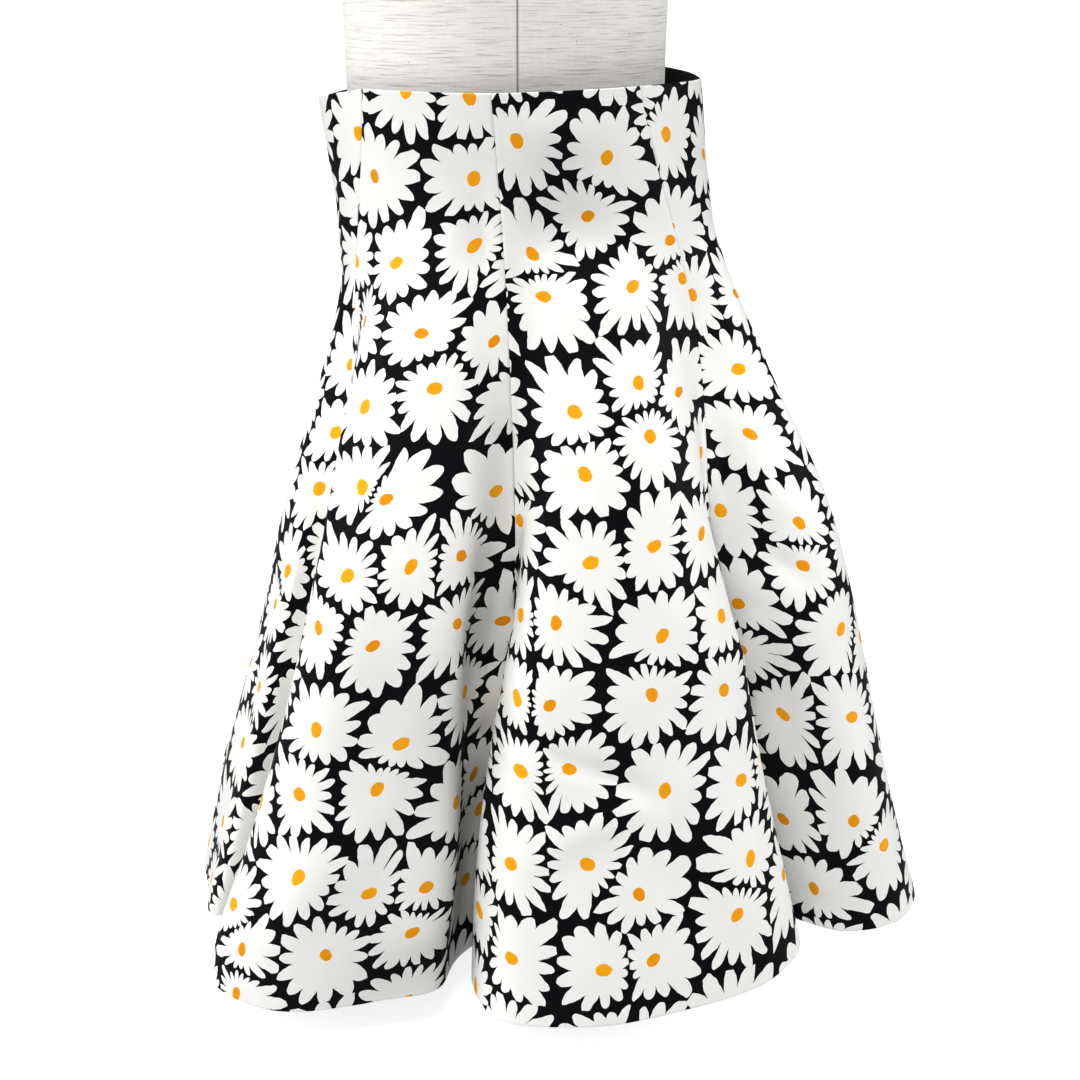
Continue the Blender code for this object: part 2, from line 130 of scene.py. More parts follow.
def add_studio():
    for softbox in SOFTBOXES:
        add_softbox(*softbox)
    world = bpy.data.worlds.new("studio")
    bpy.context.scene.world = world
    world.use_nodes = True
    sky = world.node_tree.nodes["Background"]
    sky.inputs["Color"].default_value = (1.0, 1.0, 1.0, 1.0)
    seen = world.node_tree.nodes.new("ShaderNodeLightPath")
    glow = world.node_tree.nodes.new("ShaderNodeMapRange")
    glow.inputs["To Min"].default_value = SURROUND_LIGHT
    glow.inputs["To Max"].default_value = 1.0
    world.node_tree.links.new(seen.outputs["Is Camera Ray"], glow.inputs["Value"])
    world.node_tree.links.new(glow.outputs[0], sky.inputs["Strength"])
    bpy.ops.object.select_all(action="DESELECT")
    bpy.ops.mesh.primitive_plane_add(size=9.0, location=(0.0, 0.0, 0.0))
    floor = start_piece("floor")
    pick(floor, lambda e: all(v.co.y > 4.4 for v in e.verts), "edges")
    bpy.ops.mesh.extrude_region_move(TRANSFORM_OT_translate={"value": (0.0, 0.0, 6.0)})
    pick(floor, lambda e: all(v.co.y > 4.4 and v.co.z < 0.1 for v in e.verts), "edges")
    bpy.ops.mesh.bevel(offset=2.0, segments=24, affect="EDGES")
    close_piece(floor)
    floor.data.materials.append(floor_paint())
    bpy.context.scene.view_settings.view_transform = "Standard"
    bpy.context.scene.view_settings.gamma = PICTURE_GAMMA


# ------------------------------------------------------------------ material building
class Graph:
    """Short words for wiring a node tree."""

    def __init__(self, tree):
        self.tree = tree
        self.column = 0

    def node(self, kind, **settings):
        made = self.tree.nodes.new(kind)
        self.column += 1
        made.location = (160 * (self.column % 24), -220 * (self.column // 24))
        for name, value in settings.items():
            setattr(made, name, value)
        return made

    def feed(self, socket, value):
        if isinstance(value, bpy.types.NodeSocket):
            self.tree.links.new(value, socket)
        elif value is not None:
            socket.default_value = value

    def math(self, operation, *values):
        made = self.node("ShaderNodeMath", operation=operation)
        for socket, value in zip(made.inputs, values):
            self.feed(socket, value)
        return made.outputs[0]

    def vector(self, operation, *values, out=0):
        made = self.node("ShaderNodeVectorMath", operation=operation)
        for socket, value in zip(made.inputs, values):
            self.feed(socket, value)
        return made.outputs[out]

    def scaled(self, vector, scale):
        made = self.node("ShaderNodeVectorMath", operation="SCALE")
        self.feed(made.inputs[0], vector)
        self.feed(made.inputs["Scale"], scale)
        return made.outputs[0]

    def parts(self, vector):
        made = self.node("ShaderNodeSeparateXYZ")
        self.feed(made.inputs[0], vector)
        return made.outputs

    def combine(self, x, y, z=0.0):
        made = self.node("ShaderNodeCombineXYZ")
        for socket, value in zip(made.inputs, (x, y, z)):
            self.feed(socket, value)
        return made.outputs[0]

    def mix(self, share, first, second):
        made = self.node("ShaderNodeMix", data_type="RGBA")
        self.feed(made.inputs["Factor"], share)
        self.feed(made.inputs[6], first)
        self.feed(made.inputs[7], second)
        return made.outputs[2]

    def noise(self, vector, scale, detail=2.0, roughness=0.5, out="Fac"):
        made = self.node("ShaderNodeTexNoise")
        self.feed(made.inputs["Vector"], vector)
        made.inputs["Scale"].default_value = scale
        made.inputs["Detail"].default_value = detail
        made.inputs["Roughness"].default_value = roughness
        return made.outputs[out]

    def ramp(self, value, low, high, to_low=0.0, to_high=1.0, smooth=False):
        made = self.node("ShaderNodeMapRange")
        made.interpolation_type = "SMOOTHSTEP" if smooth else "LINEAR"
        self.feed(made.inputs["Value"], value)
        for name, number in zip(("From Min", "From Max", "To Min", "To Max"), (low, high, to_low, to_high)):
            self.feed(made.inputs[name], number)
        return made.outputs[0]

    def bump(self, height, strength, distance):
        made = self.node("ShaderNodeBump")
        made.inputs["Strength"].default_value = strength
        made.inputs["Distance"].default_value = distance
        self.feed(made.inputs["Height"], height)
        return made.outputs["Normal"]


def new_group(name, inputs, outputs):
    """A shader node group with named sockets; returns it with its graph and its ends."""
    group = bpy.data.node_groups.new(name, "ShaderNodeTree")
    for socket, kind, value in inputs:
        made = group.interface.new_socket(name=socket, in_out="INPUT", socket_type=kind)
        if value is not None:
            made.default_value = value
    for socket, kind in outputs:
        group.interface.new_socket(name=socket, in_out="OUTPUT", socket_type=kind)
    graph = Graph(group)
    start = graph.node("NodeGroupInput")
    end = graph.node("NodeGroupOutput")
    return group, graph, start.outputs, end.inputs


def use_group(graph, group, **values):
    made = graph.node("ShaderNodeGroup")
    made.node_tree = group
    for name, value in values.items():
        graph.feed(made.inputs[name], value)
    return made.outputs


def new_material(name, roughness, metallic=0.0, colour=(0.8, 0.8, 0.8, 1.0)):
    made = bpy.data.materials.new(name)
    made.use_nodes = True
    graph = Graph(made.node_tree)
    shader = made.node_tree.nodes["Principled BSDF"]
    shader.inputs["Base Color"].default_value = colour
    shader.inputs["Roughness"].default_value = roughness
    shader.inputs["Metallic"].default_value = metallic
    return made, graph, shader.inputs


def object_place(graph):
    return graph.node("ShaderNodeTexCoord").outputs["Object"]


# ------------------------------------------------------------------ shared effects
def make_weave_group():
    """Fine crossed threads: height and a faint light and dark of single threads."""
    group, graph, start, end = new_group(
        "woven_threads",
        [
            ("Vector", "NodeSocketVector", None),
            ("Threads", "NodeSocketFloat", 1200.0),
            ("Slub", "NodeSocketFloat", 0.3),
        ],
        [("Height", "NodeSocketFloat"), ("Shade", "NodeSocketFloat")],
    )
    x, y, _ = graph.parts(start["Vector"])
    warp = graph.math("SINE", graph.math("MULTIPLY", x, start["Threads"]))
    weft = graph.math("SINE", graph.math("MULTIPLY", y, start["Threads"]))
    crossed = graph.math("ABSOLUTE", graph.math("MULTIPLY", warp, weft))
    thread_noise = graph.noise(start["Vector"], 900.0, 2.0)
    height = graph.math("ADD", crossed, graph.math("MULTIPLY", thread_noise, start["Slub"]))
    graph.feed(end["Height"], height)
    graph.feed(end["Shade"], thread_noise)
    return group


def make_daisy_group():
    """All over daisies that fill the cloth edge to edge: white petals, an orange eye, black between."""
    group, graph, start, end = new_group(
        "daisy_scatter",
        [("Vector", "NodeSocketVector", None), ("Spacing", "NodeSocketFloat", 0.052)],
        [("Petal", "NodeSocketFloat"), ("Eye", "NodeSocketFloat"), ("Chance", "NodeSocketFloat")],
    )
    place = graph.scaled(start["Vector"], graph.math("DIVIDE", 1.0, start["Spacing"]))
    wobble = graph.noise(place, 7.0, 1.0, out="Color")
    place = graph.vector("ADD", place, graph.scaled(graph.vector("SUBTRACT", wobble, (0.5, 0.5, 0.5)), 0.045))
    x, y, _ = graph.parts(place)
    place = graph.combine(x, y)
    cells = {}
    for feature in ("F1", "DISTANCE_TO_EDGE"):
        cell = graph.node("ShaderNodeTexVoronoi", voronoi_dimensions="2D", feature=feature)
        graph.feed(cell.inputs["Vector"], place)
        cell.inputs["Scale"].default_value = 1.0
        cell.inputs["Randomness"].default_value = DAISY_SCATTER
        cells[feature] = cell.outputs
    red, green, blue = graph.parts(cells["F1"]["Color"])
    away = graph.vector("SUBTRACT", place, cells["F1"]["Position"])
    x, y, _ = graph.parts(away)
    distance = graph.vector("LENGTH", away, out=1)
    border = cells["DISTANCE_TO_EDGE"]["Distance"]

    # 0 at the eye, 1 where the next daisy begins or at the widest that a daisy grows
    widest = graph.math("MULTIPLY_ADD", red, 0.18, 0.78)
    share = graph.math("DIVIDE", distance, graph.math("ADD", distance, border))
    share = graph.math("MAXIMUM", share, graph.math("DIVIDE", distance, widest))

    count = graph.math("ROUND", graph.math("MULTIPLY_ADD", green, 5.0, 13.0))
    angle = graph.math("DIVIDE", graph.math("ARCTAN2", y, x), 2 * math.pi)
    swing = graph.math("ADD", graph.math("MULTIPLY", angle, count), graph.math("MULTIPLY", blue, 7.0))
    number = graph.math("FLOORED_MODULO", graph.math("FLOOR", swing), count)
    petal_seed = graph.combine(number, graph.math("MULTIPLY", red, 91.0))
    dice = graph.node("ShaderNodeTexWhiteNoise", noise_dimensions="2D")
    graph.feed(dice.inputs["Vector"], petal_seed)
    length = graph.math("MULTIPLY_ADD", dice.outputs["Value"], 0.20, 0.88)
    lobe = graph.math("ABSOLUTE", graph.math("SINE", graph.math("MULTIPLY", swing, math.pi)))
    lobe = graph.math("POWER", lobe, 0.72)
    cut = graph.math("MULTIPLY_ADD", graph.noise(place, 2.3, 0.0), 0.50, 0.40)
    outline = graph.math("ADD", cut, graph.math("MULTIPLY", lobe, graph.math("SUBTRACT", length, cut)))
    petal = graph.math("LESS_THAN", share, outline)

    turn = graph.math("MULTIPLY", blue, math.pi)
    cosine, sine = graph.math("COSINE", turn), graph.math("SINE", turn)
    along = graph.math("ADD", graph.math("MULTIPLY", x, cosine), graph.math("MULTIPLY", y, sine))
    aside = graph.math("SUBTRACT", graph.math("MULTIPLY", y, cosine), graph.math("MULTIPLY", x, sine))
    oval = graph.combine(along, graph.math("MULTIPLY", aside, 1.3))
    eye_size = graph.math("MULTIPLY_ADD", red, 0.02, 0.085)
    eye = graph.math("LESS_THAN", graph.vector("LENGTH", oval, out=1), eye_size)
    graph.feed(end["Petal"], petal)
    graph.feed(end["Eye"], eye)
    graph.feed(end["Chance"], red)
    return group


def make_wear_group():
    """Soft patches of a little more or less shine and colour."""
    group, graph, start, end = new_group(
        "soft_patches",
        [("Vector", "NodeSocketVector", None), ("Scale", "NodeSocketFloat", 12.0)],
        [("Amount", "NodeSocketFloat")],
    )
    patches = graph.node("ShaderNodeTexNoise")
    graph.feed(patches.inputs["Vector"], start["Vector"])
    graph.feed(patches.inputs["Scale"], start["Scale"])
    patches.inputs["Detail"].default_value = 4.0
    graph.feed(end["Amount"], graph.ramp(patches.outputs["Fac"], 0.3, 0.7))
    return group


DAISY_SCATTER = 0.68  # how far the daisies stray from even rows, from 0 to 1
WEAVE = make_weave_group()
DAISIES = make_daisy_group()
PATCHES = make_wear_group()


# ------------------------------------------------------------------ finishes
def floor_paint():
    """Pale paint lit to white like a cut out ground: it glows to the eye and hardly lights the cloth."""
    made, graph, sockets = new_material("floor_paint", 0.75, colour=(0.86, 0.86, 0.86, 1.0))
    place = object_place(graph)
    patches = use_group(graph, PATCHES, Vector=place, Scale=1.5)["Amount"]
    graph.feed(sockets["Base Color"], graph.mix(patches, (0.64, 0.64, 0.64, 1), (0.67, 0.67, 0.67, 1)))
    sockets["Emission Color"].default_value = (1.0, 1.0, 1.0, 1.0)
    seen = graph.node("ShaderNodeLightPath").outputs["Is Camera Ray"]
    graph.feed(sockets["Emission Strength"], graph.ramp(seen, 0.0, 1.0, FLOOR_LIGHT, FLOOR_GLOW))
    return made


def printed_satin():
    made, graph, sockets = new_material("printed_satin", 0.45)
    cloth = graph.node("ShaderNodeUVMap", uv_map="cloth").outputs["UV"]
    print_out = use_group(graph, DAISIES, Vector=cloth, Spacing=0.052)
    weave = use_group(graph, WEAVE, Vector=cloth, Threads=7000.0, Slub=0.6)
    patches = use_group(graph, PATCHES, Vector=cloth, Scale=9.0)["Amount"]
    white = graph.mix(patches, (0.82, 0.82, 0.80, 1), (0.86, 0.86, 0.845, 1))
    black = graph.mix(patches, (0.009, 0.010, 0.012, 1), (0.013, 0.014, 0.017, 1))
    orange = graph.mix(print_out["Chance"], (0.80, 0.36, 0.012, 1), (0.90, 0.48, 0.020, 1))
    colour = graph.mix(print_out["Petal"], black, white)
    colour = graph.mix(print_out["Eye"], colour, orange)
    graph.feed(sockets["Base Color"], colour)
    graph.feed(sockets["Roughness"], graph.ramp(weave["Shade"], 0.3, 0.7, 0.42, 0.54))
    graph.feed(sockets["Normal"], graph.bump(weave["Height"], 0.12, 0.0002))
    sockets["Specular IOR Level"].default_value = 0.12
    return made


def black_cloth(name, threads, roughness, colour):
    made, graph, sockets = new_material(name, roughness, colour=(*colour, 1))
    place = object_place(graph)
    weave = use_group(graph, WEAVE, Vector=place, Threads=threads, Slub=0.5)
    lighter = tuple(1.8 * c for c in colour)
    graph.feed(sockets["Base Color"], graph.mix(weave["Shade"], (*colour, 1), (*lighter, 1)))
    graph.feed(sockets["Normal"], graph.bump(weave["Height"], 0.25, 0.0003))
    sockets["Sheen Weight"].default_value = 0.1
    return made


def enamelled_metal():
    made, graph, sockets = new_material("enamelled_metal", 0.3, metallic=0.9)
    place = object_place(graph)
    patches = use_group(graph, PATCHES, Vector=place, Scale=260.0)["Amount"]
    graph.feed(sockets["Base Color"], graph.mix(patches, (0.03, 0.03, 0.033, 1), (0.06, 0.06, 0.065, 1)))
    graph.feed(sockets["Roughness"], graph.ramp(patches, 0.0, 1.0, 0.25, 0.42))
    return made


def slubbed_linen():
    """Pale linen: thick threads run round it as fine dark streaks, and four fine seams down it."""
    made, graph, sockets = new_material("slubbed_linen", 0.9)
    turned = graph.node("ShaderNodeVectorRotate", rotation_type="Z_AXIS")
    graph.feed(turned.inputs["Vector"], object_place(graph))
    turned.inputs["Angle"].default_value = -FORM_TURN
    side, depth, up = graph.parts(turned.outputs[0])
    from_seam = graph.math("MINIMUM", graph.math("ABSOLUTE", side), graph.math("ABSOLUTE", depth))
    groove = graph.ramp(from_seam, 0.0002, 0.0010, 1.0, 0.0, smooth=True)
    around = graph.math("ARCTAN2", side, graph.math("MULTIPLY", depth, -1.0))
    cloth = graph.combine(graph.math("MULTIPLY", around, 0.11), up)
    x, y, _ = graph.parts(cloth)
    streak_place = graph.combine(graph.math("MULTIPLY", x, 26.0), graph.math("MULTIPLY", y, 900.0))
    streaks = graph.noise(streak_place, 1.0, 3.0, 0.6)
    warp_place = graph.combine(graph.math("MULTIPLY", x, 1100.0), graph.math("MULTIPLY", y, 60.0))
    warps = graph.noise(warp_place, 1.0, 2.0, 0.5)
    weave = use_group(graph, WEAVE, Vector=cloth, Threads=4200.0, Slub=0.8)
    slub = graph.ramp(streaks, 0.52, 0.72)
    thin = graph.ramp(warps, 0.45, 0.75)
    base = graph.mix(graph.math("MULTIPLY", thin, 0.35), (0.90, 0.885, 0.86, 1), (0.80, 0.785, 0.76, 1))
    base = graph.mix(graph.math("MULTIPLY", slub, 0.75), base, (0.44, 0.42, 0.39, 1))
    fleck_place = graph.combine(graph.math("MULTIPLY", x, 420.0), graph.math("MULTIPLY", y, 800.0))
    flecks = graph.ramp(graph.noise(fleck_place, 1.0, 1.0), 0.74, 0.80)
    base = graph.mix(graph.math("MULTIPLY", flecks, 0.8), base, (0.22, 0.20, 0.175, 1))
    base = graph.mix(graph.math("MULTIPLY", groove, 0.7), base, (0.16, 0.15, 0.135, 1))
    graph.feed(sockets["Base Color"], base)
    height = graph.math("ADD", weave["Height"], graph.math("MULTIPLY", slub, 0.8))
    height = graph.math("SUBTRACT", height, graph.math("MULTIPLY", groove, 3.0))
    graph.feed(sockets["Normal"], graph.bump(height, 0.35, 0.0004))
    return made


def varnished_wood():
    made, graph, sockets = new_material("varnished_wood", 0.35)
    place = object_place(graph)
    x, y, z = graph.parts(place)
    grain_place = graph.combine(graph.math("MULTIPLY", x, 14.0), graph.math("MULTIPLY", y, 120.0), z)
    rings = graph.noise(grain_place, 3.0, 4.0)
    grain = graph.ramp(rings, 0.35, 0.65)
    graph.feed(sockets["Base Color"], graph.mix(grain, (0.42, 0.24, 0.115, 1), (0.30, 0.155, 0.065, 1)))
    graph.feed(sockets["Normal"], graph.bump(grain, 0.1, 0.0003))
    sockets["Coat Weight"].default_value = 0.3
    return made


def brushed_steel():
    made, graph, sockets = new_material("brushed_steel", 0.3, metallic=1.0)
    place = object_place(graph)
    x, y, z = graph.parts(place)
    lines = graph.noise(graph.combine(x, y, graph.math("MULTIPLY", z, 40.0)), 60.0, 3.0)
    graph.feed(sockets["Base Color"], graph.mix(lines, (0.52, 0.52, 0.53, 1), (0.62, 0.62, 0.63, 1)))
    graph.feed(sockets["Roughness"], graph.ramp(lines, 0.3, 0.7, 0.22, 0.38))
    return made


def satin_paint():
    made, graph, sockets = new_material("satin_paint", 0.4)
    place = object_place(graph)
    patches = use_group(graph, PATCHES, Vector=place, Scale=18.0)["Amount"]
    graph.feed(sockets["Base Color"], graph.mix(patches, (0.78, 0.78, 0.76, 1), (0.82, 0.82, 0.80, 1)))
    graph.feed(sockets["Roughness"], graph.ramp(patches, 0.0, 1.0, 0.34, 0.46))
    graph.feed(sockets["Normal"], graph.bump(graph.noise(place, 700.0, 2.0), 0.08, 0.0002))
    return made


# ------------------------------------------------------------------ the skirt's surface
SKIRT_LENGTH = 560.0
SKIRT_LEAN = math.radians(3.0)
SKIRT_TOP = (2.0, 0.0, 600.0)
TOP_BAND = 90.0  # the top edge's rise fades out over this far
FOLD_SOFTNESS = 1.4  # how softly a fold swells near its seams where it starts
CLOTH = 1.4  # thickness of the cloth that shows
EDGE_ROUND = 0.6  # turned edges are rounded over this far
SEAM_SINK = 0.5  # how far the sewn edges sink at a seam
SEAM_REACH = 0.9  # how wide that sinking is
SEAM_PART = 0.10  # how far a gore stands off its seam
SEAM_QUIET = 14.0  # creases fade out this near a seam
PUCKER_HEIGHT = 0.10  # small puckers beside the seams
PUCKER_FROM_SEAM = 3.0
PUCKER_BREADTH = 3.5
CREASE_BOW = 0.06  # how far a crease bows aside, as a share of its length
CREASE_ENDS = 0.45  # height of a crease at its ends, as a share of that at its middle

RING = (  # down, reach to the left, right, front and back
    (0, 130, 130, 98, 100),
    (60, 126, 134, 97, 98),
    (120, 126, 140, 103, 104),
    (200, 134, 154, 122, 126),
    (280, 150, 178, 140, 144),
    (360, 163, 186, 158, 160),
    (460, 188, 190, 178, 180),
    (560, 208, 198, 198, 198),
)
SEAM_HEIGHTS = np.array((0.0, 140.0, 280.0, 420.0, 560.0))
SEAMS = (  # angle at five heights, reach past the ring at the lower four, rise of the top edge
    ("front", (-5.5, -4, -4.5, -9, -13), (0, -6, -18, -26), 4),
    ("front_right", (48.5, 61.5, 48, 44, 42.5), (0, 6, 2, 6), 2),
    ("right", (92, 98, 93, 90, 86), (0, -2, -4, -6), 0),
    ("back_right", (134, 137, 134, 133, 132), (0, 0, 0, 0), 9),
    ("back", (177, 177, 177, 177.5, 178), (0, 1, 3, 4), 7),
    ("back_left", (222, 219, 221, 222.5, 223), (0, -1, -3, -4), 6),
    ("left", (265, 256, 262, 266, 268), (0, 0, 0, 0), 0),
    ("front_left", (307, 292, 304, 304, 301), (0, 8, 10, 17), 9),
)
GORES = (  # fold's start, its share of the hem's fold at hip and thigh, where it is as sharp
    ("front_right", 95, 0.44, 0.73, 360),
    ("side_front_right", 95, 0.49, 0.76, 345),
    ("side_back_right", 90, 0.37, 0.68, 340),
    ("back_right", 100, 0.32, 0.65, 350),
    ("back_left", 105, 0.33, 0.66, 355),
    ("side_back_left", 78, 0.38, 0.69, 330),
    ("side_front_left", 120, 0.50, 0.77, 370),
    ("front_left", 75, 0.58, 0.80, 520),
)
HEM_FOLDS = (  # each gore's fold at the hem: its side, corner and crest, then the other three
    ((-54, -228), (-40, -263), (15, -277), (85, -265), (147, -236), (171, -200)),
    ((172, -173), (198, -188), (242, -180), (263, -145), (250, -98), (220, -52)),
    ((235, 8), (275, 40), (286, 85), (272, 125), (235, 150), (188, 148)),
    ((160, 175), (163, 212), (148, 247), (116, 267), (75, 270), (36, 250)),
    ((-28, 253), (-72, 278), (-114, 269), (-144, 241), (-153, 205), (-146, 170)),
    ((-180, 165), (-225, 169), (-266, 148), (-288, 110), (-285, 73), (-256, 36)),
    ((-246, 10), (-270, -10), (-272, -55), (-261, -98), (-247, -138), (-224, -130)),
    ((-230, -165), (-237, -205), (-190, -246), (-122, -246), (-74, -235), (-64, -212)),
)
# Soft creases, listed one by one: gore, share of its width and distance down at one end and at
# the other, breadth, and height (a trough is negative).
CREASES = (
    ("front_right", 0.20, 26, 0.66, 24, 17, 2.6),
    ("front_right", 0.08, 96, 0.66, 84, 26, -6.4),
    ("front_right", 0.06, 264, 0.36, 232, 8, -1.6),
    ("front_right", 0.30, 178, 0.50, 152, 9, -0.9),
    ("front_right", 0.62, 300, 0.70, 380, 22, 1.5),
    ("front_right", 0.11, 390, 0.11, 545, 15, 5.5),
    ("front_right", 0.93, 300, 0.92, 490, 14, 4.5),
    ("front_right", 0.20, 384, 0.36, 400, 6, -2.0),
    ("front_right", 0.36, 400, 0.56, 431, 6, -2.4),
    ("front_right", 0.30, 462, 0.52, 433, 9, 1.9),
    ("front_right", 0.60, 505, 0.61, 452, 15, -2.4),
    ("front_right", 0.45, 560, 0.41, 488, 18, 2.0),
    ("front_right", 0.26, 560, 0.24, 500, 16, -1.8),
    ("front_right", 0.76, 556, 0.74, 470, 18, 1.6),
    ("front_left", 0.66, 92, 0.97, 102, 24, -3.6),
    ("front_left", 0.34, 26, 0.74, 30, 16, 0.9),
    ("front_left", 0.82, 300, 0.86, 400, 27, -9.0),
    ("front_left", 0.87, 420, 0.90, 566, 24, -11.0),
    ("front_left", 0.58, 268, 0.68, 400, 20, 6.0),
    ("front_left", 0.52, 330, 0.60, 410, 16, -2.2),
    ("front_left", 0.66, 572, 0.80, 545, 30, -6.5),
    ("front_left", 0.40, 545, 0.62, 440, 22, 3.2),
    ("front_left", 0.36, 300, 0.40, 430, 20, 1.6),
    ("front_left", 0.30, 556, 0.34, 480, 18, 1.8),
    ("side_front_right", 0.30, 60, 0.80, 52, 14, -1.2),
    ("side_front_right", 0.11, 240, 0.13, 330, 16, -7.0),
    ("side_front_right", 0.20, 300, 0.31, 321, 8, -2.6),
    ("side_front_right", 0.28, 262, 0.36, 286, 12, 1.7),
    ("side_front_right", 0.13, 350, 0.16, 530, 22, -9.5),
    ("side_front_right", 0.32, 400, 0.36, 545, 20, 2.2),
    ("side_front_right", 0.58, 556, 0.56, 470, 18, -1.6),
    ("side_front_left", 0.25, 66, 0.75, 74, 14, -1.2),
    ("side_front_left", 0.80, 250, 0.80, 380, 15, -3.2),
    ("side_front_left", 0.70, 426, 0.74, 525, 17, -3.0),
    ("side_front_left", 0.45, 330, 0.50, 520, 18, 1.8),
    ("side_back_right", 0.15, 66, 0.85, 78, 18, -1.6),
    ("side_back_right", 0.86, 240, 0.86, 360, 18, -4.0),
    ("side_back_right", 0.30, 380, 0.46, 440, 9, -2.2),
    ("side_back_right", 0.58, 556, 0.60, 450, 20, 2.0),
    ("side_back_left", 0.18, 76, 0.82, 64, 18, -1.6),
    ("side_back_left", 0.14, 250, 0.13, 380, 18, -4.0),
    ("side_back_left", 0.44, 330, 0.60, 372, 9, -2.0),
    ("side_back_left", 0.38, 556, 0.42, 440, 20, -2.2),
    ("back_right", 0.10, 74, 0.90, 86, 22, -2.0),
    ("back_right", 0.36, 300, 0.34, 420, 20, 2.0),
    ("back_right", 0.60, 430, 0.76, 462, 9, -2.2),
    ("back_right", 0.50, 556, 0.54, 480, 18, 1.9),
    ("back_left", 0.12, 84, 0.88, 72, 22, -2.0),
    ("back_left", 0.60, 290, 0.64, 400, 20, 1.8),
    ("back_left", 0.28, 452, 0.46, 420, 9, -2.2),
    ("back_left", 0.42, 556, 0.40, 470, 18, -2.0),
)


def smooth_value(at, places, values):
    at = np.asarray(at, float)
    places, values = np.asarray(places, float), np.asarray(values, float)
    slopes = np.gradient(values, places)
    i = np.clip(np.searchsorted(places, at) - 1, 0, len(places) - 2)
    step = places[i + 1] - places[i]
    t = (at - places[i]) / step
    start = (2 * t**3 - 3 * t**2 + 1) * values[i] + (t**3 - 2 * t**2 + t) * step * slopes[i]
    return start + (3 * t**2 - 2 * t**3) * values[i + 1] + (t**3 - t**2) * step * slopes[i + 1]


def ring_reach(side, down):
    table = np.array(RING, float)
    return smooth_value(down, table[:, 0], table[:, 1 + ("left", "right", "front", "back").index(side)])


def seam_angle(seam, down):
    turns, index = divmod(seam, len(SEAMS))
    return smooth_value(down, SEAM_HEIGHTS, SEAMS[index][1]) + 360.0 * turns


def seam_out(seam, down):
    heights = SEAM_HEIGHTS[1:]
    return smooth_value(np.maximum(down, heights[0]), heights, SEAMS[seam % len(SEAMS)][2])


def seam_rise(seam):
    return SEAMS[seam % len(SEAMS)][3]


def ring_point(gore, across, down):
    angle = np.radians(seam_angle(gore, down) * (1 - across) + seam_angle(gore + 1, down) * across)
    side, depth = np.sin(angle), -np.cos(angle)
    wide = np.where(side > 0, ring_reach("right", down), ring_reach("left", down))
    deep = np.where(depth > 0, ring_reach("back", down), ring_reach("front", down))
    reach = 1 / np.sqrt((side / wide) ** 2 + (depth / deep) ** 2)
    reach = reach + seam_out(gore, down) * (1 - across) + seam_out(gore + 1, down) * across
    return side * reach, depth * reach


def hem_point(gore, across):
    """A point of a gore's hem: a smooth curve from its first seam round its fold to the next."""
    first, last = (ring_point(gore, np.array(end), np.array(SKIRT_LENGTH)) for end in (0.0, 1.0))
    places = np.array([first, *HEM_FOLDS[gore % len(GORES)], last], float)
    run = np.concatenate([[0], np.cumsum(np.linalg.norm(np.diff(places, axis=0), axis=1))])
    shares = run / run[-1]
    return smooth_value(across, shares, places[:, 0]), smooth_value(across, shares, places[:, 1])


def gore_face(gore, turn, down):
    """A gore's outer face before its creases: turn runs from 0 at its first seam to pi at the next."""
    _, start, at_hip, at_thigh, sharp_at = GORES[gore % len(GORES)]
    turn, down = np.broadcast_arrays(np.asarray(turn, float), np.asarray(down, float))
    across = (1 - np.cos(turn)) / 2
    x, y = ring_point(gore, across, down)
    base_x, base_y = ring_point(gore, across, np.full_like(down, SKIRT_LENGTH))
    hem_x, hem_y = hem_point(gore, across)
    heights = (start, SEAM_HEIGHTS[2], SEAM_HEIGHTS[3], SKIRT_LENGTH)
    grown = smooth_value(np.maximum(down, start), heights, (0.0, at_hip, at_thigh, 1.0))
    softness = FOLD_SOFTNESS * (1 - np.clip((down - start) / (sharp_at - start), 0, 1))
    swell = grown * np.clip(np.sin(np.pi * across), 0, 1) ** softness
    rise = seam_rise(gore) * (1 - across) + seam_rise(gore + 1) * across
    z = -down + rise * np.clip(1 - down / TOP_BAND, 0, 1)
    return np.stack([x + (hem_x - base_x) * swell, y + (hem_y - base_y) * swell, z], axis=-1)


def unit(vectors):
    return vectors / np.linalg.norm(vectors, axis=-1, keepdims=True)


def face_normal(gore, turn, down):
    low, high = np.clip(turn - 0.02, 0, np.pi), np.clip(turn + 0.02, 0, np.pi)
    above, below = np.clip(down - 2.0, 0, None), np.clip(down + 2.0, None, SKIRT_LENGTH)
    across = gore_face(gore, high, down) - gore_face(gore, low, down)
    along = gore_face(gore, turn, below) - gore_face(gore, turn, above)
    return unit(np.cross(along, across))


def seam_frame(gore, down, at_end):
    """At a seam: the shared way out of the cloth, and the way off the seam into this gore."""
    turn = np.pi if at_end else 0.0
    other, other_turn = (gore + 1, 0.0) if at_end else (gore - 1, np.pi)
    own = face_normal(gore, np.full_like(down, turn), down)
    neighbour = face_normal(other % len(GORES), np.full_like(down, other_turn), down)
    mitre = unit(own + neighbour)
    stretch = 1 / np.clip((own * mitre).sum(-1, keepdims=True), 0.4, 1)
    off = unit(np.cross(unit(np.gradient(gore_face(gore, turn, down), axis=0)), mitre))
    inside = gore_face(gore, np.full_like(down, np.pi / 2), down) - gore_face(gore, turn, down)
    return mitre * stretch, off * np.sign((off * inside).sum(-1, keepdims=True))


